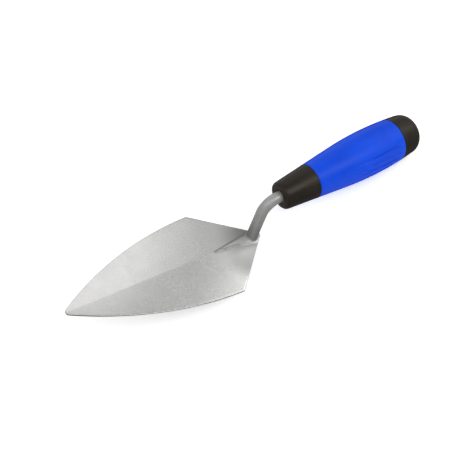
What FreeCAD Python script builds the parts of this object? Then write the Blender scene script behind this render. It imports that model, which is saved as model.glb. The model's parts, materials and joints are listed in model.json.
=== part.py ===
import FreeCAD, Part
import math
import os

# A pointing trowel with a two-material handle, lying on its heel and on the butt of the handle.
# Millimetres. Origin: centre of the footprint on the ground. +X towards the point, +Y left, +Z up.
# The trowel is drawn level first, with its blade's underside at z = 0 and its heel at x = 0, and is
# then tipped back until the butt of the handle meets the ground.

Vector = FreeCAD.Vector

# Blade
blade_length = 152.4             # heel to point
blade_width = 69.85              # across the shoulders
shoulder_from_heel = 37.4        # heel to the widest place
heel_radius = 4.8
point_radius = 2.5
shoulder_radius = 1.2
long_edge_radius = 240.0         # bow of each edge from shoulder to point
edge_thickness = 1.2             # at the shoulders
ridge_heel_thickness = 2.4       # on the centreline, at the heel
ridge_point_thickness = 1.4      # on the centreline, at the point

# Raised spine that carries the shank, fading into the blade's ridge
spine_length = 37.0
spine_half_angle = 9.8           # degrees
spine_rise = 2.2                 # over the ridge, at the heel
spine_top_share = 0.82           # width of its flat top against its base

# Shank: one round rod, bent once, running on into the handle
rod_diameter = 7.9
foot_from_heel = 6.15            # rod centre where it leaves the spine
corner_from_heel = 5.25          # rod centre lines cross here
corner_height = 36.1
bend_radius = 11.5               # centreline
corner_to_handle = 11.6          # along the handle's axis
handle_tilt = 10.0               # degrees over the blade's plane, rising towards the butt
tang_depth = 72.0                # length of rod inside the handle
tang_flat_length = 30.0          # rear stretch with two flats
tang_flat_width = 6.0            # across the flats
tang_end_chamfer = 0.8
weld_size = 0.8                  # leg of the weld round the foot

# Handle, a turned shape
collar_length = 26.1
grip_length = 73.3
cap_length = 19.6
nose_diameter = 19.4
nose_edge_radius = 2.0
belly_diameter = 32.8
belly_from_nose = 78.0           # fattest place
belly_radius = 262.0             # lengthwise
butt_edge_radius = 9.0
butt_dome_radius = 30.0

# Inside the handle
fit_clearance = 0.15             # radial gap of every moulded or pushed fit
end_clearance = 0.3              # gap past every blind end
grip_front_wall = 2.5            # grip thickness where it meets the collar
tenon_wall = 2.8
tenon_length = 19.0
key_count = 4
key_width = 3.0
key_rise = 1.1
plug_diameter = 12.0
plug_length = 13.5

# Finger grooves, a fan on each flank of the grip that spreads towards the butt
grooves_per_flank = 5
groove_rear_angle = -37.5        # of the uppermost groove, degrees from the flank towards the underside
groove_rear_step = 18.0
groove_front_angle = -39.0
groove_front_step = 13.5
groove_length = 46.0
groove_width = 1.6
groove_depth = 0.8
groove_run_out = 0.1             # how far the cutter has lifted clear at the groove's front end
groove_rear_margin = 4.0         # plain ring before the cap

rod_radius = rod_diameter / 2
nose_radius = nose_diameter / 2
handle_length = collar_length + grip_length + cap_length
grip_end = collar_length + grip_length


def circles_meet(centre_a, radius_a, centre_b, radius_b):
    # the crossing of two circles that lies to the right of the way from centre a to centre b
    across = centre_b - centre_a
    gap = across.Length
    along = (gap ** 2 + radius_a ** 2 - radius_b ** 2) / (2 * gap)
    aside = math.sqrt(radius_a ** 2 - along ** 2)
    across.normalize()
    return centre_a + across * along + Vector(across.y, -across.x, 0) * aside


def arc_between(centre, start, end):
    # the shorter arc round a centre, from start to end
    radius = (start - centre).Length
    middle = (start - centre) + (end - centre)
    middle.normalize()
    return Part.Arc(start, centre + middle * radius, end).toShape()


def mirrored(point):
    return Vector(point.x, -point.y, point.z)


# ---- handle outline: x runs along the axis from the nose, y is the radius

belly_centre = Vector(belly_from_nose, belly_diameter / 2 - belly_radius, 0)
dome_centre = Vector(handle_length - butt_dome_radius, 0, 0)
butt_centre = circles_meet(belly_centre, belly_radius - butt_edge_radius,
                           dome_centre, butt_dome_radius - butt_edge_radius)
nose_point = Vector(0, nose_radius, 0)


def tangent_from(point, centre, radius):
    # where the line from a point in front of the circle touches its upper side
    across = point - centre
    reach = math.acos(radius / across.Length)
    angle = math.atan2(across.y, across.x) - reach
    return centre + Vector(math.cos(angle), math.sin(angle), 0) * radius


def on_circle_towards(centre, radius, target):
    across = target - centre
    return centre + across * (radius / across.Length)


cone_end = tangent_from(nose_point, belly_centre, belly_radius)
belly_end = on_circle_towards(belly_centre, belly_radius, butt_centre)
dome_start = on_circle_towards(dome_centre, butt_dome_radius, butt_centre)
butt_point = Vector(handle_length, 0, 0)


def handle_radius(station):
    # radius of the handle at a distance from its nose
    if station <= cone_end.x:
        return nose_radius + (cone_end.y - nose_radius) * station / cone_end.x
    if station <= belly_end.x:
        centre, radius = belly_centre, belly_radius
    elif station <= dome_start.x:
        centre, radius = butt_centre, butt_edge_radius
    else:
        centre, radius = dome_centre, butt_dome_radius
    return centre.y + math.sqrt(max(radius ** 2 - (station - centre.x) ** 2, 0))


def turned(points_and_edges):
    # a solid turned about the X axis
    face = Part.Face(Part.Wire(points_and_edges))
    return face.revolve(Vector(0, 0, 0), Vector(1, 0, 0), 360)


def handle_envelope():
    edges = [
        Part.LineSegment(Vector(0, 0, 0), nose_point).toShape(),
        Part.LineSegment(nose_point, cone_end).toShape(),
        arc_between(belly_centre, cone_end, belly_end),
        arc_between(butt_centre, belly_end, dome_start),
        arc_between(dome_centre, dome_start, butt_point),
        Part.LineSegment(butt_point, Vector(0, 0, 0)).toShape(),
    ]
    return turned(edges)


def rod_along_axis(radius, start, end):
    return Part.makeCylinder(radius, end - start, Vector(start, 0, 0), Vector(1, 0, 0))


def slab(start, end):
    side = 2 * belly_diameter
    return Part.makeBox(end - start, side, side, Vector(start, -side / 2, -side / 2))


def flat_cutters(across, start, end):
    # two blocks that leave a given width between them
    side = belly_diameter
    block = Part.makeBox(end - start, side, side, Vector(start, across / 2, -side / 2))
    other = Part.makeBox(end - start, side, side, Vector(start, -across / 2 - side, -side / 2))
    return block.fuse(other)


def tang_stretch(clearance, end_gap):
    # the rod's stretch inside the handle, or with clearance the hole that takes it
    end = tang_depth + end_gap
    flat_start = tang_depth - tang_flat_length + end_gap
    stretch = rod_along_axis(rod_radius + clearance, 0, end)
    return stretch.cut(flat_cutters(tang_flat_width + 2 * clearance, flat_start, end + 1))


# ---- handle pieces, along the X axis with the nose at 0 and the underside towards +Z

core_radius = handle_radius(collar_length) - grip_front_wall
tenon_radius = rod_radius + fit_clearance + tenon_wall
plug_radius = plug_diameter / 2


def core_keys(clearance):
    width = key_width + 2 * clearance
    reach = core_radius + key_rise + clearance
    keys = []
    for i in range(key_count):
        bar = Part.makeBox(grip_length, width, reach, Vector(collar_length, -width / 2, 0))
        bar.rotate(Vector(0, 0, 0), Vector(1, 0, 0), 45 + i * 360 / key_count)
        keys.append(bar)
    return keys


def front_collar(envelope):
    collar = envelope.common(slab(0, collar_length))
    rim = [e for e in collar.Edges if e.BoundBox.XMax < 0.01 and e.BoundBox.YLength > nose_radius]
    collar = collar.makeFillet(nose_edge_radius, rim)
    tenon_hole = rod_along_axis(tenon_radius + fit_clearance,
                                collar_length - tenon_length - end_clearance, collar_length)
    return collar.cut(rod_along_axis(rod_radius + fit_clearance, -1, collar_length)).cut(tenon_hole)


def handle_core():
    body = rod_along_axis(core_radius, collar_length, grip_end)
    body = body.multiFuse(core_keys(0) + [rod_along_axis(tenon_radius, collar_length - tenon_length,
                                                         collar_length + 1)]).removeSplitter()
    plug_hole = rod_along_axis(plug_radius + fit_clearance,
                               grip_end - plug_length - end_clearance, grip_end + 1)
    return body.cut(tang_stretch(fit_clearance, end_clearance)).cut(plug_hole)


def groove_cutter(number):
    # a flat-sided slot cutter whose floor rises out of the grip at the groove's front end
    rear = grip_end - groove_rear_margin
    middle, front = rear - groove_length / 2, rear - groove_length
    side = -groove_width / 2
    clear = belly_diameter
    floor = Part.makePolygon([
        Vector(rear, handle_radius(rear) - groove_depth, side),
        Vector(middle, handle_radius(middle) - groove_depth, side),
        Vector(front, handle_radius(front) + groove_run_out, side),
        Vector(front, clear, side),
        Vector(rear, clear, side),
        Vector(rear, handle_radius(rear) - groove_depth, side),
    ])
    cutter = Part.Face(floor).extrude(Vector(0, 0, groove_width))
    rear_angle = groove_rear_angle + number * groove_rear_step
    front_angle = groove_front_angle + number * groove_front_step
    sideways = handle_radius(front) * math.sin(math.radians(front_angle - rear_angle))
    yaw = math.degrees(math.atan2(sideways, groove_length))
    cutter.rotate(Vector(rear, 0, 0), Vector(0, 1, 0), yaw)
    cutter.rotate(Vector(0, 0, 0), Vector(1, 0, 0), rear_angle)
    return cutter


def grip_sleeve(envelope):
    sleeve = envelope.common(slab(collar_length, grip_end))
    hole = rod_along_axis(core_radius + fit_clearance, collar_length - 1, grip_end + 1)
    sleeve = sleeve.cut(hole.multiFuse(core_keys(fit_clearance)))
    for number in range(grooves_per_flank):
        left = groove_cutter(number)
        right = left.mirror(Vector(0, 0, 0), Vector(0, 1, 0))
        sleeve = sleeve.cut(left).cut(right)
    return sleeve


def end_cap(envelope):
    cap = envelope.common(slab(grip_end, handle_length + 1))
    return cap.fuse(rod_along_axis(plug_radius, grip_end - plug_length, grip_end + 1)).removeSplitter()


# ---- blade, spine and shank, level, with the heel at x = 0

handle_direction = Vector(-math.cos(math.radians(handle_tilt)), 0, math.sin(math.radians(handle_tilt)))
corner_point = Vector(corner_from_heel, 0, corner_height)
nose_place = corner_point + handle_direction * corner_to_handle


def ridge_height(x):
    return ridge_heel_thickness + (ridge_point_thickness - ridge_heel_thickness) * x / blade_length


def blade_outline():
    shoulder = Vector(shoulder_from_heel, blade_width / 2, 0)
    heel_centre = Vector(heel_radius, 0, 0)
    reach = shoulder - heel_centre
    heel_slope = math.atan2(reach.y, reach.x) - math.asin(heel_radius / reach.Length)
    heel_tangent = heel_centre + Vector(-math.sin(heel_slope), math.cos(heel_slope), 0) * heel_radius
    point_centre = Vector(blade_length - point_radius, 0, 0)
    bow_centre = circles_meet(shoulder, long_edge_radius,
                              point_centre, long_edge_radius - point_radius)
    point_tangent = on_circle_towards(bow_centre, long_edge_radius, point_centre)
    half = [
        Part.LineSegment(heel_tangent, shoulder).toShape(),
        arc_between(bow_centre, shoulder, point_tangent),
    ]
    point_arc = Part.Arc(point_tangent, Vector(blade_length, 0, 0), mirrored(point_tangent)).toShape()
    other_half = [
        arc_between(mirrored(bow_centre), mirrored(point_tangent), mirrored(shoulder)),
        Part.LineSegment(mirrored(shoulder), mirrored(heel_tangent)).toShape(),
    ]
    heel_arc = Part.Arc(mirrored(heel_tangent), Vector(0, 0, 0), heel_tangent).toShape()
    return Part.Wire(half + [point_arc] + other_half + [heel_arc])


def roof_section(x):
    # cross-section of the blade at x, carried out past its edges
    half_width = blade_width
    slope = (ridge_height(shoulder_from_heel) - edge_thickness) / (blade_width / 2)
    top, side = ridge_height(x), ridge_height(x) - slope * half_width
    bottom = side - 1
    return Part.makePolygon([Vector(x, 0, top), Vector(x, half_width, side), Vector(x, half_width, bottom),
                             Vector(x, -half_width, bottom), Vector(x, -half_width, side),
                             Vector(x, 0, top)])


def spine():
    # a wedge with a flat top and steep sides, running out on the ridge
    base = spine_length * math.tan(math.radians(spine_half_angle))
    crown = base * spine_top_share
    top = ridge_height(0) + spine_rise
    low = edge_thickness / 2
    section = Part.makePolygon([Vector(0, base, low), Vector(0, crown, top), Vector(0, -crown, top),
                                Vector(0, -base, low), Vector(0, base, low)])
    tail = Part.Vertex(Vector(spine_length, 0, ridge_height(spine_length)))
    return Part.makeLoft([section, tail], True, True)


def blade():
    height = ridge_heel_thickness + spine_rise + 1
    body = Part.Face(blade_outline()).extrude(Vector(0, 0, height))
    corners = [e for e in body.Edges
               if abs(e.BoundBox.XMin - shoulder_from_heel) < 0.01 and e.BoundBox.XLength < 0.01]
    body = body.makeFillet(shoulder_radius, corners)
    roof = Part.makeLoft([roof_section(-1), roof_section(blade_length + 1)], True, True)
    return body.common(roof.fuse(spine())).removeSplitter()


def shank_rod():
    # the bent rod from below the spine's top to the handle's nose
    foot = Vector(foot_from_heel, 0, ridge_heel_thickness / 2)
    down = foot - corner_point
    down.normalize()
    turn = math.pi - down.getAngle(handle_direction)
    setback = bend_radius * math.tan(turn / 2)
    bend_start, bend_end = corner_point + down * setback, corner_point + handle_direction * setback
    inward = down + handle_direction
    inward.normalize()
    bend_middle = corner_point + inward * (bend_radius / math.cos(turn / 2) - bend_radius)
    path = Part.Wire([
        Part.LineSegment(foot, bend_start).toShape(),
        Part.Arc(bend_start, bend_middle, bend_end).toShape(),
        Part.LineSegment(bend_end, nose_place).toShape(),
    ])
    section = Part.Wire(Part.makeCircle(rod_radius, foot, down))
    return path.makePipeShell([section], True, True), foot, down


def tang(blade_solid, place):
    rod, foot, down = shank_rod()
    inner = tang_stretch(0, 0)
    ends = [e for e in inner.Edges if e.BoundBox.XMin > tang_depth - 0.01]
    inner = inner.makeChamfer(tang_end_chamfer, ends)
    inner.Placement = place
    return rod.fuse(inner).removeSplitter().cut(blade_solid)


def weld_bead(blade_solid, tang_solid):
    # a cone of weld that fills the corner between the spine and the rod
    rod, foot, down = shank_rod()
    spine_top = (ridge_height(0) + spine_rise) * (1 - foot_from_heel / spine_length) \
        + ridge_height(spine_length) * foot_from_heel / spine_length
    centre = foot - down * (spine_top - foot.z)
    cone = Part.makeCone(rod_radius + 2 * weld_size, rod_radius, 2 * weld_size,
                         centre + down * weld_size, -down)
    outline = Part.Face(blade_outline()).extrude(Vector(0, 0, corner_height))
    return cone.common(outline).cut(blade_solid).cut(tang_solid)


def rest_pitch():
    # the tip-up angle at which the heel and the handle's underside both touch the ground
    steps = 2400
    lowest = math.pi / 2
    under = Vector(-handle_direction.z, 0, handle_direction.x)
    for i in range(steps):
        station = handle_length * i / steps
        point = nose_place + handle_direction * station + under * handle_radius(station)
        lowest = min(lowest, math.atan2(point.z, -point.x))
    return math.degrees(lowest)


def main():
    os.makedirs("parts", exist_ok=True)
    place = FreeCAD.Placement(nose_place, FreeCAD.Rotation(Vector(1, 0, 0), handle_direction))
    envelope = handle_envelope()
    blade_solid = blade()
    tang_solid = tang(blade_solid, place)
    pieces = {
        "blade": blade_solid,
        "tang": tang_solid,
        "weld_bead": weld_bead(blade_solid, tang_solid),
    }
    for name, piece in [
        ("front_collar", front_collar(envelope)),
        ("handle_core", handle_core()),
        ("grip_sleeve", grip_sleeve(envelope)),
        ("end_cap", end_cap(envelope)),
    ]:
        piece.Placement = place
        pieces[name] = piece

    pitch = rest_pitch()
    for piece in pieces.values():
        piece.rotate(Vector(0, 0, 0), Vector(0, 1, 0), -pitch)
    front = pieces["blade"].optimalBoundingBox(False, False).XMax
    back = pieces["end_cap"].optimalBoundingBox(False, False).XMin
    middle = (front + back) / 2
    print("pitch", round(pitch, 5), "length", round(front - back, 2), "heel at x", round(-middle, 4))
    for name, piece in pieces.items():
        piece.translate(Vector(-middle, 0, 0))
        solids = piece.Solids
        print(name, "solids", len(solids), "valid", piece.isValid(), "volume", round(piece.Volume, 1))
        if len(solids) == 1:
            piece = solids[0]
        piece.exportStep(os.path.join("parts", name + ".step"))


main()
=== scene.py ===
import json
import math
import bpy
import bmesh
from mathutils import Matrix, Vector, noise


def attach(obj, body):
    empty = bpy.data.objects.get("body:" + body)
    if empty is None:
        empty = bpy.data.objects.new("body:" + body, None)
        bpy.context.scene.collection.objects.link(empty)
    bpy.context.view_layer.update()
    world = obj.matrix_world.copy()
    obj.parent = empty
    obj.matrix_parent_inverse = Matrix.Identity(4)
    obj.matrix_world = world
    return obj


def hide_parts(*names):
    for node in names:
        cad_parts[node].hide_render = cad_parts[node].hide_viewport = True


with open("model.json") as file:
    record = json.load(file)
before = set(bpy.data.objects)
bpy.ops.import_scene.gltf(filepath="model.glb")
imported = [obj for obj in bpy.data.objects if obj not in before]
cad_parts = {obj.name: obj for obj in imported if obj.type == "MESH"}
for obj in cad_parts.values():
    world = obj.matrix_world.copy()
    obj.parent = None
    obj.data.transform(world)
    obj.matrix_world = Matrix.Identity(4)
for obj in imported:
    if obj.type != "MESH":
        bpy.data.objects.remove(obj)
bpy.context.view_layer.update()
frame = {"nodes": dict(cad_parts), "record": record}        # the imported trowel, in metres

mm = 0.001


# Where the trowel lies. The blade is drawn level with its heel at the origin and its underside at
# z = 0, the handle along X with its nose at the origin, and each is then laid in its place.

def volumeCentre(node):
    mesh = frame["nodes"][node].data
    mesh.calc_loop_triangles()
    total, centre = 0, Vector()
    for triangle in mesh.loop_triangles:
        a, b, c = (mesh.vertices[i].co for i in triangle.vertices)
        volume = a.dot(b.cross(c)) / 6
        total += volume
        centre += (a + b + c) * volume / 4
    return centre / total


def stationSpan(node, origin, axis):
    stations = [(v.co - origin).dot(axis) for v in frame["nodes"][node].data.vertices]
    return min(stations), max(stations)


faceFromHeel = 60 * mm          # the record's blade face mount sits this far ahead of the heel
faceMount = next(m for m in frame["record"]["mounts"] if m["name"] == "blade_face")
pitch = math.atan2(faceMount["axis"][0], -faceMount["axis"][2])
heelPoint = Vector(faceMount["pos_m"]) - Vector((math.cos(pitch), 0, math.sin(pitch))) * faceFromHeel
levelToRest = Matrix.Translation(heelPoint) @ Matrix.Rotation(-pitch, 4, "Y")

handleAxis = (volumeCentre("end_cap") - volumeCentre("front_collar")).normalized()
noseStation = stationSpan("front_collar", volumeCentre("front_collar"), handleAxis)[0]
nosePoint = volumeCentre("front_collar") + handleAxis * noseStation
handleDown = handleAxis.cross(Vector((0, 1, 0)))
handleTurn = Matrix((handleAxis, (0, 1, 0), handleDown)).transposed().to_4x4()
handleToRest = Matrix.Translation(nosePoint) @ handleTurn
collarEnd = stationSpan("front_collar", nosePoint, handleAxis)[1]
gripSpan = stationSpan("grip_sleeve", nosePoint, handleAxis)
gripEnd = collarEnd + gripSpan[1] - gripSpan[0]
handleEnd = stationSpan("end_cap", nosePoint, handleAxis)[1]
print("frame: pitch", round(math.degrees(pitch), 2), "collar to", round(collarEnd / mm, 2),
      "grip to", round(gripEnd / mm, 2), "handle to", round(handleEnd / mm, 2))


# Small makers

def addPiece(name, mesh, material, node, smoothAngle=35):
    piece = bpy.data.objects.new(name, mesh)
    bpy.context.scene.collection.objects.link(piece)
    mesh.materials.clear()
    mesh.materials.append(material)
    for face in mesh.polygons:
        face.use_smooth = True
    mesh.set_sharp_from_angle(angle=math.radians(smoothAngle))
    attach(piece, "root")
    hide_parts(node)
    print("piece", name, "faces", len(mesh.polygons))


def meshFrom(name, points, faces, place):
    mesh = bpy.data.meshes.new(name)
    mesh.from_pydata([place @ Vector(p) for p in points], [], faces)
    work = bmesh.new()
    work.from_mesh(mesh)
    bmesh.ops.remove_doubles(work, verts=work.verts, dist=1e-7)
    bmesh.ops.recalc_face_normals(work, faces=work.faces)
    work.to_mesh(mesh)
    work.free()
    mesh.update()
    return mesh


def markVertices(mesh, name, place, measure):
    # one number per vertex, measured in the piece's own drawing frame
    values = mesh.attributes.new(name, "FLOAT", "POINT").data
    back = place.inverted()
    for i, vertex in enumerate(mesh.vertices):
        values[i].value = measure(back @ vertex.co)


def arcPoints(centre, radius, start, end, count):
    # points on an arc, angles in radians, both ends included
    angles = [start + (end - start) * i / count for i in range(count + 1)]
    return [Vector((centre.x + radius * math.cos(a), centre.y + radius * math.sin(a))) for a in angles]


def turnedMesh(name, profile, segments, place):
    # profile: (station, radius) round a closed loop, or from axis to axis
    points, faces, rings = [], [], []
    for station, radius in profile:
        if radius < 1e-7:
            rings.append([len(points)])
            points.append((station, 0, 0))
            continue
        rings.append(list(range(len(points), len(points) + segments)))
        for i in range(segments):
            angle = 2 * math.pi * i / segments
            points.append((station, radius * math.cos(angle), radius * math.sin(angle)))
    closed = profile[0][1] > 1e-7
    pairs = list(zip(rings, rings[1:])) + ([(rings[-1], rings[0])] if closed else [])
    for one, two in pairs:
        for i in range(segments):
            j = (i + 1) % segments
            if len(one) == 1:
                faces.append((one[0], two[i], two[j]))
            elif len(two) == 1:
                faces.append((one[i], two[0], one[j]))
            else:
                faces.append((one[i], two[i], two[j], one[j]))
    return meshFrom(name, points, faces, place)


# Handle outline, the same turned shape as the handle in the frame

handleShape = {
    "noseRadius": 9.7 * mm,
    "noseEdge": 2.0 * mm,
    "bellyRadius": 16.4 * mm,
    "bellyStation": 78.0 * mm,
    "bellyBow": 262.0 * mm,
    "buttEdge": 9.0 * mm,
    "buttDome": 30.0 * mm,
}


def crossingCentre(centreA, radiusA, centreB, radiusB):
    across = centreB - centreA
    gap = across.length
    along = (gap ** 2 + radiusA ** 2 - radiusB ** 2) / (2 * gap)
    aside = math.sqrt(radiusA ** 2 - along ** 2)
    across = across / gap
    return centreA + across * along + Vector((across.y, -across.x)) * aside


bellyCentre = Vector((handleShape["bellyStation"], handleShape["bellyRadius"] - handleShape["bellyBow"]))
domeCentre = Vector((handleEnd - handleShape["buttDome"], 0))
buttCentre = crossingCentre(bellyCentre, handleShape["bellyBow"] - handleShape["buttEdge"],
                            domeCentre, handleShape["buttDome"] - handleShape["buttEdge"])
noseReach = bellyCentre - Vector((0, handleShape["noseRadius"]))
coneTurn = math.atan2(-noseReach.y, -noseReach.x) - math.acos(handleShape["bellyBow"] / noseReach.length)
coneEnd = bellyCentre + Vector((math.cos(coneTurn), math.sin(coneTurn))) * handleShape["bellyBow"]
bellyEnd = bellyCentre + (buttCentre - bellyCentre).normalized() * handleShape["bellyBow"]
domeStart = domeCentre + (buttCentre - domeCentre).normalized() * handleShape["buttDome"]


def handleRadius(station):
    if station <= coneEnd.x:
        return handleShape["noseRadius"] + (coneEnd.y - handleShape["noseRadius"]) * station / coneEnd.x
    if station <= bellyEnd.x:
        centre, radius = bellyCentre, handleShape["bellyBow"]
    elif station <= domeStart.x:
        centre, radius = buttCentre, handleShape["buttEdge"]
    else:
        centre, radius = domeCentre, handleShape["buttDome"]
    return centre.y + math.sqrt(max(radius ** 2 - (station - centre.x) ** 2, 0))


def roundedEnd(station, direction, radius, sink):
    # profile points that turn a rounded shoulder into a seam, from the outside inwards
    points = []
    for i in range(6):
        angle = math.radians(90 * i / 5)
        along = station - direction * radius * (1 - math.sin(angle))
        points.append((along, handleRadius(station) - radius * (1 - math.cos(angle)) - sink * (i == 5)))
    return points


def stationsBetween(start, end, step):
    count = max(int(round((end - start) / step)), 1)
    return [start + (end - start) * i / count for i in range(count + 1)]


# Shader node groups

def newGroup(name, inputs, outputs):
    group = bpy.data.node_groups.new(name, "ShaderNodeTree")
    for label, kind, value in inputs:
        socket = group.interface.new_socket(label, in_out="INPUT", socket_type=kind)
        socket.default_value = value
    for label, kind in outputs:
        group.interface.new_socket(label, in_out="OUTPUT", socket_type=kind)
    return group, group.nodes.new("NodeGroupInput").outputs, group.nodes.new("NodeGroupOutput").inputs


def node(tree, kind, inputs=None, **settings):
    # settings go first, because some of them change which sockets the node has
    made = tree.nodes.new(kind)
    for key, value in settings.items():
        setattr(made, key, value)
    for key, value in (inputs or {}).items():
        if isinstance(value, bpy.types.NodeSocket):
            tree.links.new(value, made.inputs[key])
        else:
            made.inputs[key].default_value = value
    return made


def mathNode(tree, operation, *values):
    return node(tree, "ShaderNodeMath", dict(enumerate(values)), operation=operation).outputs[0]


def times(tree, one, two):
    return mathNode(tree, "MULTIPLY", one, two)


def plus(tree, one, two):
    return mathNode(tree, "ADD", one, two)


def mixColour(tree, factor, one, two):
    # the mix node keeps its colour sockets at 6 and 7, and its colour result at 2
    return node(tree, "ShaderNodeMix", {0: factor, 6: one, 7: two}, data_type="RGBA").outputs[2]


def mapRange(tree, value, low, high, toLow, toHigh, kind="LINEAR"):
    made = node(tree, "ShaderNodeMapRange", {"Value": value, "From Min": low, "From Max": high,
                                              "To Min": toLow, "To Max": toHigh}, interpolation_type=kind)
    return made.outputs["Result"]


def noiseValue(tree, where, flankAndWallShadeColour, detail, roughness):
    return node(tree, "ShaderNodeTexNoise", {"Vector": where, "Scale": flankAndWallShadeColour, "Detail": detail,
                                             "Roughness": roughness}).outputs["Fac"]


def makeFineGrain():
    # fine tooth of a moulded or blasted skin: a mask and a height
    group, inside, out = newGroup("fineGrain", [
        ("Vector", "NodeSocketVector", (0, 0, 0)),
        ("Scale", "NodeSocketFloat", 2500.0),
        ("Softness", "NodeSocketFloat", 0.5),
    ], [("Mask", "NodeSocketFloat"), ("Height", "NodeSocketFloat")])
    coarse = noiseValue(group, inside["Vector"], inside["Scale"], 3.0, inside["Softness"])
    cells = node(group, "ShaderNodeTexVoronoi", {"Vector": inside["Vector"], "Scale": inside["Scale"]},
                 feature="SMOOTH_F1")
    pits = mapRange(group, cells.outputs["Distance"], 0.0, 0.8, 0.0, 1.0, "SMOOTHSTEP")
    group.links.new(coarse, out["Mask"])
    group.links.new(plus(group, times(group, pits, 0.5), times(group, coarse, 0.5)), out["Height"])
    return group


def makeHandling():
    # soft smudges and a little dust, for roughness and colour
    group, inside, out = newGroup("handlingMarks", [
        ("Vector", "NodeSocketVector", (0, 0, 0)),
        ("Scale", "NodeSocketFloat", 60.0),
        ("Amount", "NodeSocketFloat", 0.5),
    ], [("Mask", "NodeSocketFloat"), ("Specks", "NodeSocketFloat")])
    clouds = node(group, "ShaderNodeTexNoise", {"Vector": inside["Vector"], "Scale": inside["Scale"],
                                                "Detail": 5.0, "Roughness": 0.6, "Distortion": 0.6})
    soft = mapRange(group, clouds.outputs["Fac"], 0.38, 0.68, 0.0, 1.0, "SMOOTHSTEP")
    speckScale = times(group, inside["Scale"], 22.0)
    dots = node(group, "ShaderNodeTexVoronoi", {"Vector": inside["Vector"], "Scale": speckScale,
                                                "Randomness": 1.0})
    specks = mapRange(group, dots.outputs["Distance"], 0.05, 0.16, 1.0, 0.0, "SMOOTHSTEP")
    group.links.new(times(group, soft, inside["Amount"]), out["Mask"])
    group.links.new(times(group, specks, soft), out["Specks"])
    return group


def makeScratches():
    # short fine scratches left by grinding, running mostly one way
    group, inside, out = newGroup("grindingMarks", [
        ("Vector", "NodeSocketVector", (0, 0, 0)),
        ("Scale", "NodeSocketFloat", 900.0),
        ("Stretch", "NodeSocketFloat", 0.06),
        ("Turn", "NodeSocketFloat", 0.0),
    ], [("Mask", "NodeSocketFloat"), ("Height", "NodeSocketFloat")])
    turn = node(group, "ShaderNodeCombineXYZ", {"Z": inside["Turn"]})
    size = node(group, "ShaderNodeCombineXYZ", {"X": inside["Stretch"], "Y": 1.0, "Z": 1.0})
    laid = node(group, "ShaderNodeMapping", {"Vector": inside["Vector"],
                                             "Rotation": turn.outputs["Vector"],
                                             "Scale": size.outputs["Vector"]})
    lines = noiseValue(group, laid.outputs["Vector"], inside["Scale"], 4.0, 0.65)
    strong = mapRange(group, lines, 0.56, 0.72, 0.0, 1.0, "SMOOTHSTEP")
    group.links.new(strong, out["Mask"])
    group.links.new(lines, out["Height"])
    return group


fineGrain = makeFineGrain()
handlingMarks = makeHandling()
grindingMarks = makeScratches()


def useGroup(tree, group, inputs):
    return node(tree, "ShaderNodeGroup", inputs, node_tree=group)


def markValue(tree, name):
    return node(tree, "ShaderNodeAttribute", attribute_name=name).outputs["Fac"]


def newMaterial(name):
    material = bpy.data.materials.new(name)
    material.use_nodes = True
    tree = material.node_tree
    tree.nodes.clear()
    shader = tree.nodes.new("ShaderNodeBsdfPrincipled")
    output = tree.nodes.new("ShaderNodeOutputMaterial")
    tree.links.new(shader.outputs["BSDF"], output.inputs["Surface"])
    coords = tree.nodes.new("ShaderNodeTexCoord").outputs["Object"]
    return material, tree, shader, coords


# Steel

# shares and depths that every steel has in common
steelBlend = {
    "clouds": 0.55, "wide": 0.45, "smudge": 0.10, "crossFiner": 0.7,
    "smudgeRough": 0.03, "flankAndWallShadeRough": 0.12,
    "alongHeight": 0.5, "crossHeight": 0.3, "grainHeight": 0.35,
    "fineDistance": 0.06 * mm, "waveDistance": 0.4 * mm,
}


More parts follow.
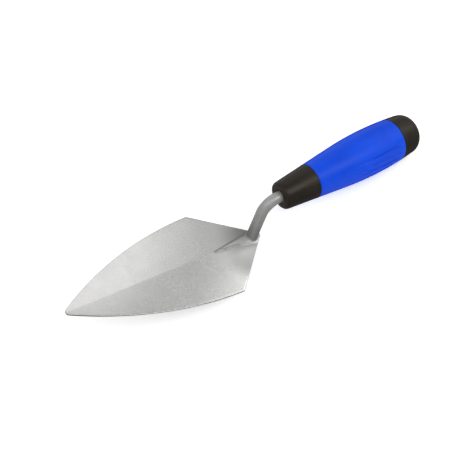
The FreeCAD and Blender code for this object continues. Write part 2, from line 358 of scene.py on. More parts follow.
def groundSteel(name, look):
    material, tree, shader, coords = newMaterial(name)
    level = node(tree, "ShaderNodeMapping", {"Vector": coords, "Rotation": (0, pitch, 0)}).outputs["Vector"]
    clouds = noiseValue(tree, level, look["mottleScale"], 2.5, 0.45)
    wide = noiseValue(tree, level, look["cloudScale"], 2.0, 0.5)
    soft = noiseValue(tree, level, look["waveScale"], 1.0, 0.4)
    along, cross = (
        useGroup(tree, grindingMarks, {"Vector": level, "Scale": look["grindScale"] * finer,
                                       "Stretch": look["grindStretch"], "Turn": turn})
        for finer, turn in ((1.0, look["grindTurn"]), (steelBlend["crossFiner"], look["crossTurn"])))
    grain = useGroup(tree, fineGrain, {"Vector": level, "Scale": look["grainScale"], "Softness": 0.55})
    marks = useGroup(tree, handlingMarks, {"Vector": level, "Scale": look["smudgeScale"], "Amount": 1.0})
    smudges = marks.outputs["Mask"]

    # colour: mottled steel, then scratches and smudges, then painted shade and painted light
    tone = plus(tree, times(tree, clouds, steelBlend["clouds"]), times(tree, wide, steelBlend["wide"]))
    colour = mixColour(tree, mapRange(tree, tone, 0.36, 0.64, 0.0, 1.0), look["dark"], look["light"])
    colour = mixColour(tree, times(tree, along.outputs["Mask"], look["scratches"]), colour, look["scratch"])
    colour = mixColour(tree, times(tree, smudges, steelBlend["smudge"]), colour, look["dark"])
    # painted shade on the spine's flanks and the blade's rim walls
    flankAndWallShaded = times(tree, markValue(tree, "flankAndWallShade"), mapRange(tree, clouds, 0.35, 0.65, 0.75, 1.0))
    colour = mixColour(tree, flankAndWallShaded, colour, look["flankAndWallShadeColour"])
    # painted shade near the rod's foot: the blade's far half and the rod's lower end
    footShaded = times(tree, markValue(tree, "paintedFootShade"), mapRange(tree, wide, 0.3, 0.7, 0.85, 1.0))
    colour = mixColour(tree, footShaded, colour, look["heat"])
    # painted light beside the rod's foot on the blade's near half
    colour = mixColour(tree, markValue(tree, "nearLight"), colour, look["nearLightColour"])
    tree.links.new(colour, shader.inputs["Base Color"])

    rough = mapRange(tree, clouds, 0.3, 0.7, look["roughLow"], look["roughHigh"])
    rough = plus(tree, rough, times(tree, smudges, steelBlend["smudgeRough"]))
    rough = plus(tree, rough, times(tree, flankAndWallShaded, steelBlend["flankAndWallShadeRough"]))
    rough = plus(tree, rough, times(tree, markValue(tree, "dulled"), look["dulling"]))
    tree.links.new(rough, shader.inputs["Roughness"])
    shader.inputs["Metallic"].default_value = look["metal"]

    height = plus(tree, times(tree, along.outputs["Height"], steelBlend["alongHeight"]),
                  times(tree, cross.outputs["Height"], steelBlend["crossHeight"]))
    height = plus(tree, height, times(tree, grain.outputs["Height"], steelBlend["grainHeight"]))
    fine = node(tree, "ShaderNodeBump", {"Height": height, "Strength": look["bump"],
                                         "Distance": steelBlend["fineDistance"]})
    broad = node(tree, "ShaderNodeBump", {"Height": soft, "Strength": look["waviness"],
                                          "Distance": steelBlend["waveDistance"],
                                          "Normal": fine.outputs["Normal"]})
    tree.links.new(broad.outputs["Normal"], shader.inputs["Normal"])
    return material


# in each steel look the second line's colours are painted: shade for the flanks and rim walls, shade near
# the rod's foot, and light beside it
bladeLook = {
    "dark": (0.573, 0.570, 0.563, 1), "light": (0.628, 0.625, 0.617, 1), "scratch": (0.70, 0.70, 0.695, 1),
    "flankAndWallShadeColour": (0.24, 0.24, 0.235, 1), "heat": (0.25, 0.248, 0.242, 1), "nearLightColour": (0.90, 0.90, 0.89, 1),
    "metal": 1.0, "scratches": 0.10, "dulling": 0.32,
    "mottleScale": 420.0, "cloudScale": 70.0, "smudgeScale": 45.0, "waveScale": 160.0,
    "grindScale": 1500.0, "grindStretch": 0.05, "grindTurn": 0.35, "crossTurn": 1.9, "grainScale": 2600.0,
    "roughLow": 0.24, "roughHigh": 0.265, "bump": 0.013, "waviness": 0.013,
}
shankLook = {
    "dark": (0.31, 0.307, 0.30, 1), "light": (0.375, 0.371, 0.362, 1), "scratch": (0.48, 0.477, 0.47, 1),
    "flankAndWallShadeColour": (0.20, 0.20, 0.195, 1), "heat": (0.21, 0.21, 0.205, 1), "nearLightColour": (0.5, 0.5, 0.49, 1),
    "metal": 0.5, "scratches": 0.2, "dulling": 0.0,          # dull with forging scale
    "mottleScale": 500.0, "cloudScale": 120.0, "smudgeScale": 80.0, "waveScale": 300.0,
    "grindScale": 1700.0, "grindStretch": 0.10, "grindTurn": 0.0, "crossTurn": 1.57, "grainScale": 3000.0,
    "roughLow": 0.42, "roughHigh": 0.50, "bump": 0.06, "waviness": 0.03,
}
weldLook = dict(shankLook, dark=(0.22, 0.22, 0.215, 1), light=(0.32, 0.32, 0.315, 1),
                roughLow=0.45, roughHigh=0.55)
bladeSteel = groundSteel("bladeSteel", bladeLook)
shankSteel = groundSteel("shankSteel", shankLook)
weldSteel = groundSteel("weldSteel", weldLook)


# Handle finishes

# what both handle finishes share
skinBlend = {
    "dustColour": (0.62, 0.60, 0.56, 1), "mostRimShade": 0.9, "smudgeRough": 0.06, "glanceRough": 0.6,
    "glanceEnd": 0.95, "bumpDistance": 0.05 * mm,
}


def mouldedSkin(name, look):
    material, tree, shader, coords = newMaterial(name)
    grain = useGroup(tree, fineGrain, {"Vector": coords, "Scale": look["grainScale"], "Softness": 0.5})
    marks = useGroup(tree, handlingMarks, {"Vector": coords, "Scale": look["smudgeScale"], "Amount": 1.0})
    smudges = marks.outputs["Mask"]
    flow = noiseValue(tree, coords, look["flowScale"], 3.0, 0.5)
    colour = mixColour(tree, mapRange(tree, flow, 0.35, 0.65, 0.0, 1.0), look["dark"], look["light"])
    colour = mixColour(tree, times(tree, smudges, look["smudge"]), colour, look["worn"])
    dusty = times(tree, marks.outputs["Specks"], look["dust"])
    colour = mixColour(tree, dusty, colour, skinBlend["dustColour"])
    # painted shade: the base colour darkens where the skin turns away, and the skin loses its shine there
    facing = node(tree, "ShaderNodeLayerWeight", {"Blend": 0.5}).outputs["Facing"]
    rimShade = mapRange(tree, facing, look["rimShadeReach"], 1.0, 0.0, skinBlend["mostRimShade"], "SMOOTHSTEP")
    tree.links.new(mixColour(tree, rimShade, colour, look["rim"]), shader.inputs["Base Color"])
    rough = mapRange(tree, grain.outputs["Mask"], 0.3, 0.7, look["roughLow"], look["roughHigh"])
    rough = plus(tree, rough, times(tree, smudges, skinBlend["smudgeRough"]))
    glancing = mapRange(tree, facing, look["softReach"], skinBlend["glanceEnd"],
                        0.0, skinBlend["glanceRough"], "SMOOTHSTEP")
    tree.links.new(plus(tree, rough, glancing), shader.inputs["Roughness"])
    shader.inputs["IOR"].default_value = look["ior"]
    shader.inputs["Specular IOR Level"].default_value = look["specular"]
    shader.inputs["Specular Tint"].default_value = look["shine"]
    bump = node(tree, "ShaderNodeBump", {"Height": grain.outputs["Height"], "Strength": look["bump"],
                                         "Distance": skinBlend["bumpDistance"]})
    tree.links.new(bump.outputs["Normal"], shader.inputs["Normal"])
    return material


# each look's rim colour is painted shade, mixed in where the skin turns away
gripLook = {
    "dark": (0.0005, 0.048, 0.555, 1), "light": (0.0008, 0.061, 0.655, 1), "worn": (0.003, 0.078, 0.71, 1),
    "rim": (0.002, 0.022, 0.30, 1), "rimShadeReach": 0.72, "softReach": 0.45,
    "grainScale": 2400.0, "smudgeScale": 70.0, "flowScale": 30.0, "smudge": 0.25, "dust": 0.03,
    "roughLow": 0.34, "roughHigh": 0.42, "bump": 0.10,
    "ior": 1.45, "specular": 0.18, "shine": (1.0, 1.0, 1.0, 1),
}
blackLook = {
    "dark": (0.0085, 0.0066, 0.0048, 1), "light": (0.0115, 0.0090, 0.0068, 1),
    "worn": (0.019, 0.0155, 0.012, 1),
    "rim": (0.003, 0.0025, 0.002, 1), "rimShadeReach": 0.50, "softReach": 0.60,
    "grainScale": 2000.0, "smudgeScale": 80.0, "flowScale": 40.0, "smudge": 0.30, "dust": 0.05,
    "roughLow": 0.36, "roughHigh": 0.44, "bump": 0.08,
    "ior": 1.45, "specular": 0.32, "shine": (1.0, 0.88, 0.74, 1),
}
gripRubber = mouldedSkin("gripRubber", gripLook)
blackPlastic = mouldedSkin("blackPlastic", blackLook)
corePlastic = mouldedSkin("corePlastic", dict(blackLook, bump=0.2, dust=0.0))
print("materials made")


# Blade: a plate with a shallow ridge and a raised spine, its rim slightly rounded

bladeShape = {
    "length": 152.4 * mm, "width": 69.85 * mm, "shoulder": 37.4 * mm,
    "heelRadius": 4.8 * mm, "pointRadius": 2.5 * mm, "shoulderRadius": 1.2 * mm, "edgeBow": 240.0 * mm,
    "edgeThickness": 1.2 * mm, "ridgeHeel": 2.4 * mm, "ridgePoint": 1.4 * mm, "ridgeSoftness": 0.35 * mm,
    "spineLength": 38.5 * mm, "spineAngle": 9.8, "spineRise": 2.2 * mm, "spineTopShare": 0.46,
    "spineBlend": 0.3 * mm, "rim": 0.32 * mm, "waver": 0.02 * mm, "waverScale": 55,
}


# steps along each stretch of the outline, and columns over the spine's crown, its flank and the plate
bladeSteps = {
    "heel": 14, "side": 44, "shoulder": 7, "bow": 92, "point": 14,
    "crown": 8, "flank": 12, "plate": 20,
}


def bladeOutline(shape, steps):
    # one half, heel to point: (point, outward normal) with the heel at x = 0
    shoulder = Vector((shape["shoulder"], shape["width"] / 2))
    heelCentre = Vector((shape["heelRadius"], 0))
    reach = shoulder - heelCentre
    slope = math.atan2(reach.y, reach.x) - math.asin(shape["heelRadius"] / reach.length)
    pointCentre = Vector((shape["length"] - shape["pointRadius"], 0))
    bowCentre = crossingCentre(shoulder, shape["edgeBow"],
                               pointCentre, shape["edgeBow"] - shape["pointRadius"])
    radial = (pointCentre - bowCentre).normalized()
    pointAngle = math.atan2(radial.y, radial.x)
    # the shoulder's small round, between the straight heel edge and the bowed long edge
    heelNormal = Vector((-math.sin(slope), math.cos(slope)))
    small = shape["shoulderRadius"]
    lineLow = heelCentre + heelNormal * (shape["heelRadius"] - small)
    lineWay = Vector((math.cos(slope), math.sin(slope)))
    toBow = lineLow - bowCentre
    inner = shape["edgeBow"] - small
    half = toBow.dot(lineWay)
    run = -half + math.sqrt(half ** 2 - toBow.length ** 2 + inner ** 2)
    roundCentre = lineLow + lineWay * run
    bowStart = (roundCentre - bowCentre).normalized()
    bowAngle = math.atan2(bowStart.y, bowStart.x)
    outline = []

    def addArc(centre, radius, start, end, count):
        for i in range(count + 1):
            angle = start + (end - start) * i / count
            normal = Vector((math.cos(angle), math.sin(angle)))
            outline.append((centre + normal * radius, normal))

    heelAngle = math.pi / 2 + slope
    addArc(heelCentre, shape["heelRadius"], math.pi, heelAngle, steps["heel"])
    first = heelCentre + heelNormal * shape["heelRadius"]
    last = roundCentre + heelNormal * small
    outline.extend((first.lerp(last, i / steps["side"]), heelNormal) for i in range(1, steps["side"]))
    addArc(roundCentre, small, heelAngle, bowAngle, steps["shoulder"])
    addArc(bowCentre, shape["edgeBow"], bowAngle, pointAngle, steps["bow"])
    outline.pop()
    addArc(pointCentre, shape["pointRadius"], pointAngle, 0, steps["point"])
    return outline


def smooth(value):
    value = min(max(value, 0), 1)
    return value * value * (3 - 2 * value)


def spineFoot(shape, x):
    # half width of the spine's foot at a distance from the heel
    return (shape["spineLength"] - x) * math.tan(math.radians(shape["spineAngle"]))


def bladeHeight(shape, x, y):
    # top surface over the level underside
    side = abs(y)
    fall = (shape["ridgePoint"] - shape["ridgeHeel"]) / shape["length"]
    ridge = shape["ridgeHeel"] + fall * x
    slope = (shape["ridgeHeel"] + fall * shape["shoulder"] - shape["edgeThickness"]) / (shape["width"] / 2)
    soft = shape["ridgeSoftness"]
    plate = ridge - slope * (math.sqrt(side ** 2 + soft ** 2) - soft)
    remaining = 1 - x / shape["spineLength"]
    if remaining <= 0:
        return plate
    foot = spineFoot(shape, x)
    crown = foot * shape["spineTopShare"]
    top = ridge + shape["spineRise"] * remaining
    blend = smooth((foot + shape["spineBlend"] - side) / (foot - crown + shape["spineBlend"]))
    return plate + (top - plate) * blend


def columnsAcross(shape, steps, x, width):
    # half of a row, centre to rim: fine over the spine, coarser over the plate
    foot = max(spineFoot(shape, x), 0)
    crown = min(max(foot * shape["spineTopShare"] * 0.92, 0.25 * mm), width * 0.55)
    toe = min(max(foot + 0.8 * mm, 1.3 * mm), width * 0.85)
    across = [crown * i / steps["crown"] for i in range(steps["crown"])]
    across += [crown + (toe - crown) * i / steps["flank"] for i in range(steps["flank"])]
    across += [toe + (width - toe) * i / steps["plate"] for i in range(steps["plate"] + 1)]
    return across


def waver(shape, x, y):
    # the slight unevenness of a hand-ground face
    return shape["waver"] * noise.noise(Vector((x, y, 0)) * shape["waverScale"])


def makeBlade(shape, steps):
    outline = bladeOutline(shape, steps)
    rim = shape["rim"]
    points, faces, rowsTop, rowsLow = [], [], [], []

    def add(x, y, z):
        points.append((x, y, z))
        return len(points) - 1

    for point, normal in outline:
        edge = point - normal * rim
        if edge.y < 1e-6:
            x = edge.x
            rowsTop.append([add(x, 0, bladeHeight(shape, x, 0))])
            rowsLow.append([add(x, 0, 0)])
            continue
        half = columnsAcross(shape, steps, edge.x, edge.y)
        across = [-y for y in reversed(half[1:])] + half
        rowsTop.append([add(edge.x, y, bladeHeight(shape, edge.x, y) + waver(shape, edge.x, y))
                        for y in across])
        rowsLow.append([add(edge.x, y, 0) for y in across])
    for rows in (rowsTop, rowsLow):
        for one, two in zip(rows, rows[1:]):
            if len(one) == 1:
                faces.extend((one[0], two[i], two[i + 1]) for i in range(len(two) - 1))
            elif len(two) == 1:
                faces.extend((one[i], one[i + 1], two[0]) for i in range(len(one) - 1))
            else:
                faces.extend((one[i], two[i], two[i + 1], one[i + 1]) for i in range(len(one) - 1))
    # the rim: a quarter round over the edge, the wall and a quarter round under it
    turns = [math.radians(a) for a in (22.5, 45, 67.5, 90)]
    left = [(i, 1) for i in range(len(outline))]
    right = [(i, -1) for i in range(len(outline) - 2, 0, -1)]
    loops = []
    for i, hand in left + right:
        point, normal = outline[i]
        topIndex = rowsTop[i][-1 if hand > 0 else 0]
        lowIndex = rowsLow[i][-1 if hand > 0 else 0]
        topZ = points[topIndex][2]
        loop = [topIndex]
        for turn in turns:
            spot = point - normal * rim * (1 - math.sin(turn))
            loop.append(add(spot.x, hand * spot.y, topZ - rim * (1 - math.cos(turn))))
        for turn in reversed(turns):
            spot = point - normal * rim * (1 - math.sin(turn))
            loop.append(add(spot.x, hand * spot.y, rim * (1 - math.cos(turn))))
        loop.append(lowIndex)
        loops.append(loop)
    for one, two in zip(loops, loops[1:] + loops[:1]):
        faces.extend((one[i], one[i + 1], two[i + 1], two[i]) for i in range(len(one) - 1))
    return meshFrom("blade", points, faces, levelToRest)


# where each mark starts, how far it reaches and how it fades
bladeMarks = {
    "cutEdge": 0.15 * mm, "cutShade": 0.75, "lowerRim": 0.1 * mm,
    "flankReach": 1.0 * mm, "nearReach": 1.5 * mm, "nearShadeFrom": 26 * mm,
    "footStation": 6 * mm, "heatReach": 34 * mm, "footShadeFrom": 3 * mm, "footShadeFade": 7 * mm,
    "nearLightReach": 30 * mm, "nearLightFrom": 4 * mm, "nearLightFade": 6 * mm, "dullReach": 30 * mm,
    "heatCore": 1.0, "nearLightCore": 1.2, "dullCore": 1.3,
}


def flankShade(place):
    # painted shade: the rim wall above its lowest sliver gets a fixed share, and the spine's flanks are
    # shaded by how far in them a spot lies
    drop = bladeHeight(bladeShape, place.x, place.y) - place.z
    if drop > bladeMarks["cutEdge"]:
        return bladeMarks["cutShade"] if place.z > bladeMarks["lowerRim"] else 0
    if place.x > bladeShape["spineLength"]:
        return 0
    foot = spineFoot(bladeShape, place.x)
    crown = foot * bladeShape["spineTopShare"]
    spread = bladeMarks["nearReach"] if place.y > 0 else bladeMarks["flankReach"]
    middle, reach = (crown + foot) / 2, (foot - crown) / 2 + spread
    shade = smooth(1 - abs(abs(place.y) - middle) / reach)
    # the near flank's painted shade fades out toward the heel
    return shade * (smooth(place.x / bladeMarks["nearShadeFrom"]) if place.y > 0 else 1)


def footNearness(place, mark):
    # whole at the rod's foot and fading outwards; a larger core keeps it whole further out
    distance = math.hypot(place.x - bladeMarks["footStation"], place.y)
    return smooth(bladeMarks[mark + "Core"] - distance / bladeMarks[mark + "Reach"])


def farFootShade(place):
    # painted shade over the far half, spreading from the rod's foot
    return smooth((bladeMarks["footShadeFrom"] - place.y) / bladeMarks["footShadeFade"]) * footNearness(place, "heat")


def paintedNearLight(place):
    # painted light over the near half, beside the rod's foot
    return smooth((place.y - bladeMarks["nearLightFrom"]) / bladeMarks["nearLightFade"]) * footNearness(place, "nearLight")


def dullShade(place):
    return footNearness(place, "dull")


bladeMesh = makeBlade(bladeShape, bladeSteps)
bladeShades = {"flankAndWallShade": flankShade, "paintedFootShade": farFootShade, "dulled": dullShade, "nearLight": paintedNearLight}
for markName, measure in bladeShades.items():
    markVertices(bladeMesh, markName, levelToRest, measure)
addPiece("trowelBlade", bladeMesh, bladeSteel, "blade", 40)


# Shank: one round rod, bent once, running on into the handle

shankShape = {
    "radius": 3.95 * mm, "footStation": 6.15 * mm, "cornerStation": 5.25 * mm, "cornerHeight": 36.1 * mm,
    "bend": 11.5 * mm, "footDepth": 2.0 * mm, "tangDepth": 72.0 * mm, "flatLength": 30.0 * mm,
    "flatWidth": 6.0 * mm, "endChamfer": 0.8 * mm, "footShadeHeight": 22 * mm, "heatCore": 1.25,
    "segments": 56, "lowSteps": 22, "bendSteps": 24, "upperSteps": 60,
}


def shankPath(shape):
    # (centre, direction) from the foot to the inner end, in the trowel's resting place
    corner = levelToRest @ Vector((shape["cornerStation"], 0, shape["cornerHeight"]))
    foot = levelToRest @ Vector((shape["footStation"], 0, shape["footDepth"]))
    up = (corner - foot).normalized()
    turn = up.angle(handleAxis)
    setback = shape["bend"] * math.tan(turn / 2)
    start = corner - up * setback
    inward = (handleAxis - up * up.dot(handleAxis)).normalized()
    centre = start + inward * shape["bend"]
    low, bend, upper = shape["lowSteps"], shape["bendSteps"], shape["upperSteps"]
    path = [(foot.lerp(start, i / low), up) for i in range(low)]
    for i in range(bend + 1):
        angle = turn * i / bend
        spoke = -inward * math.cos(angle) + up * math.sin(angle)
        path.append((centre + spoke * shape["bend"], up * math.cos(angle) + inward * math.sin(angle)))
    end = nosePoint + handleAxis * shape["tangDepth"]
    bendEnd = path[-1][0]
    path += [(bendEnd.lerp(end, i / upper), handleAxis) for i in range(1, upper + 1)]
    return path


def makeShank(shape):
    path = shankPath(shape)
    end = path[-1][0]
    segments = shape["segments"]
    points, faces, rings = [], [], []
    for centre, way in path:
        side = Vector((0, 1, 0))
        other = way.cross(side)
        left = (end - centre).length
        inside = (centre - nosePoint).dot(handleAxis) > 0
        radius = shape["radius"] - (max(shape["endChamfer"] - left, 0) if inside else 0)
        flat = shape["flatWidth"] / 2 if inside and left < shape["flatLength"] else radius
        ring = []
        for i in range(segments):
            angle = 2 * math.pi * i / segments
            along = max(min(radius * math.cos(angle), flat), -flat)
            points.append(centre + side * along + other * radius * math.sin(angle))
            ring.append(len(points) - 1)
        rings.append(ring)
    for one, two in zip(rings, rings[1:]):
        faces.extend((one[i], two[i], two[(i + 1) % segments], one[(i + 1) % segments])
                     for i in range(segments))
    faces.append(rings[0])
    faces.append(rings[-1])
    return meshFrom("shank", points, faces, Matrix.Identity(4))


# painted shade: the rod darker toward its foot
def shankFootShade(place):
    return smooth(shankShape["heatCore"] - place.z / shankShape["footShadeHeight"])


shankMesh = makeShank(shankShape)
markVertices(shankMesh, "paintedFootShade", levelToRest, shankFootShade)
addPiece("trowelShank", shankMesh, shankSteel, "tang", 40)


# Weld: a low fillet round the foot of the rod, with the faint ripple of a hand-run bead

weldShape = {
    "leg": 0.75 * mm, "ripple": 0.06 * mm, "ripples": 34, "sink": 0.4 * mm,
    "tuck": 0.05 * mm, "inside": 0.3 * mm, "segments": 144, "arcSteps": 8,
}


def makeWeld(shape):
    foot = Vector((shankShape["footStation"], 0))
    start = shankShape["radius"] - shape["tuck"]        # the bead bites a little into the rod
    segments, arcSteps = shape["segments"], shape["arcSteps"]
    points, rings, faces = [], [], []
    for i in range(segments):
        angle = 2 * math.pi * i / segments
        way = Vector((math.cos(angle), math.sin(angle)))
        leg = shape["leg"] + shape["ripple"] * math.sin(angle * shape["ripples"])
        ring = []
        for k in range(arcSteps + 1):
            turn = math.radians(90 * k / arcSteps)
            spot = foot + way * (start + leg * (1 - math.sin(turn)))
            base = bladeHeight(bladeShape, max(spot.x, 0), spot.y)
            points.append((spot.x, spot.y, base + leg * (1 - math.cos(turn))))
            ring.append(len(points) - 1)
        inner = foot + way * (shankShape["radius"] - shape["inside"])
        outer = foot + way * (start + leg)
        low = bladeHeight(bladeShape, max(outer.x, 0), outer.y) - shape["sink"]
        points.append((inner.x, inner.y, points[ring[-1]][2]))
        points.append((inner.x, inner.y, low))
        points.append((outer.x, outer.y, low))
        ring += [len(points) - 3, len(points) - 2, len(points) - 1]
        rings.append(ring)
    count = len(rings[0])
    for one, two in zip(rings, rings[1:] + rings[:1]):
        faces.extend((one[i], two[i], two[(i + 1) % count], one[(i + 1) % count]) for i in range(count))
    return meshFrom("weld", points, faces, levelToRest)


addPiece("footWeld", makeWeld(weldShape), weldSteel, "weld_bead", 50)


# Handle: collar, grip and butt cap, each turned about the handle's axis

# a fine moulding line round the butt: where on the edge arc it runs, how wide and how deep, and
# how many half widths out its lips start
buttRing = {"angle": 56, "width": 1.1 * mm, "depth": 0.45 * mm, "lip": 1.6}
seamShape = {"edge": 0.45 * mm, "sink": 0.25 * mm, "clear": 0.8 * mm, "gripWall": 4.0 * mm}
# the collar's bore opens in a short flare at the nose, between these depths and widths
boreShape = {
    "gap": 0.15 * mm, "depth": 0.9 * mm, "turnDepth": 0.35 * mm,
    "turnWidth": 0.16 * mm, "width": 0.7 * mm,
}


def collarProfile():
    edge = handleShape["noseEdge"]
    bore = shankShape["radius"] + boreShape["gap"]
    mouth = bore + boreShape["width"]
    flatEdge = handleShape["noseRadius"] - edge
    profile = [(collarEnd, bore), (boreShape["depth"], bore),
               (boreShape["turnDepth"], bore + boreShape["turnWidth"])]
    profile += [(0, mouth + (flatEdge - mouth) * i / 4) for i in range(4)]
    for i in range(9):
        angle = math.radians(84 * i / 8)
        profile.append((edge * (1 - math.cos(angle)), flatEdge + edge * math.sin(angle) + 0.1 * mm * i / 8))
    straight = stationsBetween(edge + 0.6 * mm, collarEnd - seamShape["clear"], 1.2 * mm)
    profile += [(s, handleRadius(s)) for s in straight]
    profile += roundedEnd(collarEnd, 1, seamShape["edge"], seamShape["sink"])
    return profile


def capProfile():
    profile = [(gripEnd, 0), (gripEnd, handleRadius(gripEnd) * 0.5)]
    profile += list(reversed(roundedEnd(gripEnd, -1, seamShape["edge"], seamShape["sink"])))
    side = stationsBetween(gripEnd + seamShape["clear"], bellyEnd.x, 0.9 * mm)
    profile += [(s, handleRadius(s)) for s in side]
    start = math.atan2(bellyEnd.y - buttCentre.y, bellyEnd.x - buttCentre.x)
    end = math.atan2(domeStart.y - buttCentre.y, domeStart.x - buttCentre.x)
    edge = handleShape["buttEdge"]
    ring = math.radians(buttRing["angle"])
    half = buttRing["width"] / edge / 2
    lip = half * buttRing["lip"]
    arc = arcPoints(buttCentre, edge, start, ring + lip, 8)[1:]
    for share in (-1.0, -0.5, 0.0, 0.5, 1.0):
        angle = ring - share * half
        depth = buttRing["depth"] * (1 - share ** 2)
        arc.append(buttCentre + Vector((math.cos(angle), math.sin(angle))) * (edge - depth))
    arc += arcPoints(buttCentre, edge, ring - lip, end, 16)
    start = math.atan2(domeStart.y, domeStart.x - domeCentre.x)
    arc += arcPoints(domeCentre, handleShape["buttDome"], start, 0, 10)[1:-1]
    return profile + [tuple(point) for point in arc] + [(handleEnd, 0)]


def gripProfile():
    inner = handleRadius(collarEnd) - seamShape["gripWall"]
    profile = [(gripEnd, inner), (collarEnd, inner)]
    profile += list(reversed(roundedEnd(collarEnd, -1, seamShape["edge"], seamShape["sink"])))
    side = stationsBetween(collarEnd + seamShape["clear"], gripEnd - seamShape["clear"], 0.6 * mm)
    profile += [(s, handleRadius(s)) for s in side]
    profile += roundedEnd(gripEnd, 1, seamShape["edge"], seamShape["sink"])
    return profile


addPiece("frontCollar", turnedMesh("collar", collarProfile(), 128, handleToRest), blackPlastic,
         "front_collar")
addPiece("buttCap", turnedMesh("cap", capProfile(), 160, handleToRest), blackPlastic,
         "end_cap")


# Grip: the turned sleeve, with a fan of finger grooves pressed into each flank by one node tree

gripGrooves = {
    "Groove Count": 5, "Rear Angle": -37.5, "Rear Step": 18.0, "Front Angle": -39.0, "Front Step": 13.5,
    "Length": 47.0 * mm, "Width": 2.2 * mm, "Depth": 1.0 * mm, "Rear Margin": 3.6 * mm,
}


def grooveTree(sizes, material):
    tree = bpy.data.node_groups.new("gripGrooves", "GeometryNodeTree")
    tree.interface.new_socket("Geometry", in_out="INPUT", socket_type="NodeSocketGeometry")
    for label, value in sizes.items():
        kind = "NodeSocketInt" if isinstance(value, int) else "NodeSocketFloat"
        tree.interface.new_socket(label, in_out="INPUT", socket_type=kind).default_value = value
    tree.interface.new_socket("Grip End", in_out="INPUT", socket_type="NodeSocketFloat")
    tree.interface.new_socket("Inner Radius", in_out="INPUT", socket_type="NodeSocketFloat")
    tree.interface.new_socket("Geometry", in_out="OUTPUT", socket_type="NodeSocketGeometry")
    inside = tree.nodes.new("NodeGroupInput").outputs
    out = tree.nodes.new("NodeGroupOutput")
    where = node(tree, "GeometryNodeInputPosition").outputs["Position"]
    parts = node(tree, "ShaderNodeSeparateXYZ", {"Vector": where}).outputs

    def minus(one, two):
        return mathNode(tree, "SUBTRACT", one, two)

    def fanned(label):
        # an angle in radians, running from its rear value to its front value
        rearValue, frontValue = inside["Rear " + label], inside["Front " + label]
        mixed = plus(tree, rearValue, times(tree, minus(frontValue, rearValue), held))
        return mathNode(tree, "RADIANS", mixed)

    angle = mathNode(tree, "ARCTAN2", parts["Z"], mathNode(tree, "ABSOLUTE", parts["Y"]))
    square = plus(tree, times(tree, parts["Y"], parts["Y"]), times(tree, parts["Z"], parts["Z"]))
    radius = mathNode(tree, "SQRT", square)
    rear = minus(inside["Grip End"], inside["Rear Margin"])
    along = mathNode(tree, "DIVIDE", minus(rear, parts["X"]), inside["Length"])
    held = mathNode(tree, "MINIMUM", mathNode(tree, "MAXIMUM", along, 0.0), 1.0)
    first, step = fanned("Angle"), fanned("Step")
    number = mathNode(tree, "ROUND", mathNode(tree, "DIVIDE", minus(angle, first), step))
    number = mathNode(tree, "MAXIMUM", number, 0.0)
    number = mathNode(tree, "MINIMUM", number, minus(inside["Groove Count"], 1.0))
    middle = plus(tree, first, times(tree, number, step))
    aside = times(tree, mathNode(tree, "ABSOLUTE", minus(angle, middle)), radius)
    half = times(tree, inside["Width"], 0.5)
    across = mapRange(tree, mathNode(tree, "DIVIDE", aside, half), 0.0, 1.0, 1.0, 0.0, "SMOOTHSTEP")
    rise = mapRange(tree, along, 0.0, 0.10, 0.0, 1.0, "SMOOTHSTEP")
    fade = mapRange(tree, along, 0.45, 1.0, 1.0, 0.0, "SMOOTHSTEP")
    # only the outer skin moves, never the bore
    outer = plus(tree, inside["Inner Radius"], 1 * mm)
    skin = mapRange(tree, radius, inside["Inner Radius"], outer, 0.0, 1.0)
    depth = inside["Depth"]
    for factor in (across, rise, fade, skin):
        depth = times(tree, depth, factor)
    flat = node(tree, "ShaderNodeCombineXYZ", {"Y": parts["Y"], "Z": parts["Z"]}).outputs["Vector"]
    outward = node(tree, "ShaderNodeVectorMath", {0: flat}, operation="NORMALIZE").outputs[0]
    push = node(tree, "ShaderNodeVectorMath", {0: outward, "Scale": times(tree, depth, -1.0)},
                operation="SCALE").outputs[0]
    moved = node(tree, "GeometryNodeSetPosition", {"Geometry": inside["Geometry"], "Offset": push})
    real = node(tree, "GeometryNodeRealizeInstances", {"Geometry": moved.outputs[0]})
    painted = node(tree, "GeometryNodeSetMaterial", {"Geometry": real.outputs[0], "Material": material})
    tree.links.new(painted.outputs[0], out.inputs["Geometry"])
    return tree


def makeGrip():
    turned = turnedMesh("gripBlank", gripProfile(), 360, Matrix.Identity(4))
    blank = bpy.data.objects.new("gripBlank", turned)
    bpy.context.scene.collection.objects.link(blank)
    modifier = blank.modifiers.new("grooves", "NODES")
    tree = grooveTree(gripGrooves, gripRubber)
    modifier.node_group = tree
    values = dict(gripGrooves)
    values["Grip End"] = gripEnd
    values["Inner Radius"] = handleRadius(collarEnd) - seamShape["gripWall"] + 0.5 * mm
    for item in tree.interface.items_tree:
        if item.in_out == "INPUT" and item.name in values:
            modifier[item.identifier] = values[item.name]
    depsgraph = bpy.context.evaluated_depsgraph_get()
    mesh = bpy.data.meshes.new_from_object(blank.evaluated_get(depsgraph))
    blank.modifiers.remove(modifier)
    bpy.data.objects.remove(blank)
    mesh.transform(handleToRest)
    mesh.name = "grip"
    return mesh


addPiece("gripSleeve", makeGrip(), gripRubber, "grip_sleeve", 50)
frame["nodes"]["handle_core"].data.materials.clear()
frame["nodes"]["handle_core"].data.materials.append(corePlastic)
print("handle made")


# Studio: pale floor, soft lights, camera

# painted light: the floor glows as if lit from below, softly near the trowel and more so far out where the
# lamps don't reach
floorLook = {
    "half": 6.0, "low": (0.965, 0.965, 0.965, 1), "high": (0.985, 0.985, 0.985, 1), "fibreScale": 300.0,
    "roughness": 0.9, "glowNear": 0.34, "glowFar": 1.0, "nearReach": 0.7, "farReach": 2.2,
}


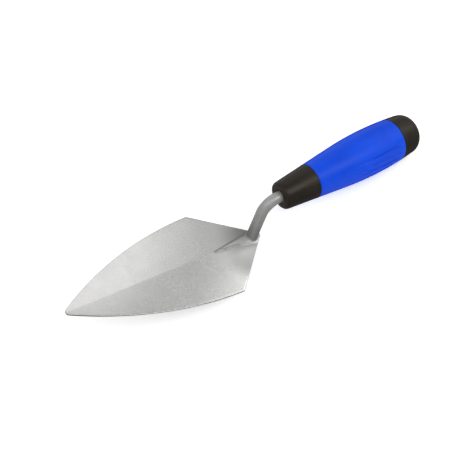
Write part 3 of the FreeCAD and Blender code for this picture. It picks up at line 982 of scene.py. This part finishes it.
def paleFloor(look):
    mesh = bpy.data.meshes.new("floor")
    half = look["half"]
    corners = [(-half, -half, 0), (half, -half, 0), (half, half, 0), (-half, half, 0)]
    mesh.from_pydata(corners, [], [(0, 1, 2, 3)])
    floor = bpy.data.objects.new("floor", mesh)
    bpy.context.scene.collection.objects.link(floor)
    material, tree, shader, coords = newMaterial("glowingFloor")
    fibres = noiseValue(tree, coords, look["fibreScale"], 4.0, 0.5)
    tree.links.new(mixColour(tree, fibres, look["low"], look["high"]), shader.inputs["Base Color"])
    shader.inputs["Roughness"].default_value = look["roughness"]
    shader.inputs["Emission Color"].default_value = (1, 1, 1, 1)
    away = node(tree, "ShaderNodeVectorMath", {0: coords}, operation="LENGTH").outputs["Value"]
    glow = mapRange(tree, away, look["nearReach"], look["farReach"], look["glowNear"], look["glowFar"],
                    "SMOOTHSTEP")
    tree.links.new(glow, shader.inputs["Emission Strength"])
    mesh.materials.append(material)
    floor.visible_glossy = False       # its glare would wash out the dark undersides


def softbox(name, place, aim, size, brightness):
    light = bpy.data.lights.new(name, "AREA")
    light.shape = "RECTANGLE"
    light.size, light.size_y = size
    light.energy = math.pi * size[0] * size[1] * brightness     # brightness as seen from the trowel
    lamp = bpy.data.objects.new(name, light)
    lamp.location = place
    lamp.rotation_euler = (Vector(aim) - Vector(place)).to_track_quat("-Z", "Y").to_euler()
    lamp.visible_camera = False
    bpy.context.scene.collection.objects.link(lamp)


studio = {
    "middle": (0.03, 0, 0.02), "distance": 1.35, "fill": 0.33, "under": (0.22, 0.6),
    # softboxes: bearing, height, width and depth in degrees seen from the trowel, and brightness
    "softboxes": {
        "rightWall": (335, 42, 64, 52, 0.85),
        "leftWall": (50, 42, 60, 52, 0.45),
        "overhead": (60, 77, 36, 36, 1.30),
        "nearKey": (118, 60, 28, 28, 0.35),
        "nearLow": (155, 36, 28, 26, 0.60),
        "collarKey": (132, 49, 22, 22, 5.4),
        "gripKey": (146, 38, 14, 14, 1.5),
        "capKey": (174, 28, 16, 16, 3.8),
        "bladeStrip": (195, 36, 14, 14, 0.76),
        "farKey": (226, 37, 24, 18, 0.72),
        "farLow": (252, 12, 40, 16, 0.35),
        "farSide": (262, 30, 30, 24, 0.95),
    },
    # small cards close to the blade, on the side it mirrors: sideways and upward shift, size, brightness
    "cardMiddle": (0.055, 0, 0.022), "cardBearing": 209, "cardHeight": 33, "cardDistance": 0.42,
    "cards": {
        "tipCard": (0.096, 0.036, 0.12, 0.22, 0.51),
        "shoulderCard": (-0.114, -0.034, 0.11, 0.09, 1.90),
    },
}


def wayTo(bearing, height):
    turn, lift = math.radians(bearing), math.radians(height)
    return Vector((math.cos(turn) * math.cos(lift), math.sin(turn) * math.cos(lift), math.sin(lift)))


def studioLights(settings):
    middle = Vector(settings["middle"])
    for name, (bearing, height, wide, deep, brightness) in settings["softboxes"].items():
        size = [2 * settings["distance"] * math.tan(math.radians(angle / 2)) for angle in (wide, deep)]
        softbox(name, middle + wayTo(bearing, height) * settings["distance"], middle, size, brightness)
    middle = Vector(settings["cardMiddle"])
    way = wayTo(settings["cardBearing"], settings["cardHeight"])
    aside = Vector((0, 0, 1)).cross(way).normalized()
    for name, (shift, lift, wide, deep, brightness) in settings["cards"].items():
        place = middle + way * settings["cardDistance"] + aside * shift + way.cross(aside) * lift
        softbox(name, place, middle, (wide, deep), brightness)
    world = bpy.data.worlds.new("studio")
    world.use_nodes = True
    background = world.node_tree.nodes["Background"]
    background.inputs["Color"].default_value = (1, 1, 1, 1)
    # what a glossy side sees under the table: dark on the near side, pale beyond the trowel
    tree = world.node_tree
    where = node(tree, "ShaderNodeTexCoord").outputs["Generated"]
    split = node(tree, "ShaderNodeSeparateXYZ", {"Vector": where})
    beyond = mapRange(tree, split.outputs["Y"], 0.0, -0.6, *settings["under"])
    horizon = mapRange(tree, split.outputs["Z"], -0.15, -0.05, beyond, 1.0)
    level = mapRange(tree, split.outputs["Z"], 0.0, 0.06, horizon, settings["fill"])
    tree.links.new(level, background.inputs["Strength"])
    bpy.context.scene.world = world
    bpy.context.scene.view_settings.view_transform = "Standard"


cameraPlace = {
    "from": (0.20070, 0.29363, 0.61855), "at": (0.01550, -0.01038, 0.02020), "roll": -4.29,
    "lens": 83.0, "sensor": 36, "nearest": 0.05,
}


def placeCamera(place):
    camera = bpy.data.cameras.new("camera")
    camera.lens = place["lens"]
    camera.sensor_width = place["sensor"]
    camera.clip_start = place["nearest"]
    viewer = bpy.data.objects.new("camera", camera)
    back = (Vector(place["from"]) - Vector(place["at"])).normalized()
    right = Vector((0, 0, 1)).cross(back).normalized()
    up = back.cross(right)
    roll = math.radians(place["roll"])
    turnedRight = right * math.cos(roll) + up * math.sin(roll)
    turnedUp = up * math.cos(roll) - right * math.sin(roll)
    viewer.matrix_world = Matrix.Translation(Vector(place["from"])) @ Matrix(
        (turnedRight, turnedUp, back)).transposed().to_4x4()
    bpy.context.scene.collection.objects.link(viewer)
    bpy.context.scene.camera = viewer


paleFloor(floorLook)
studioLights(studio)
placeCamera(cameraPlace)
print("studio made")
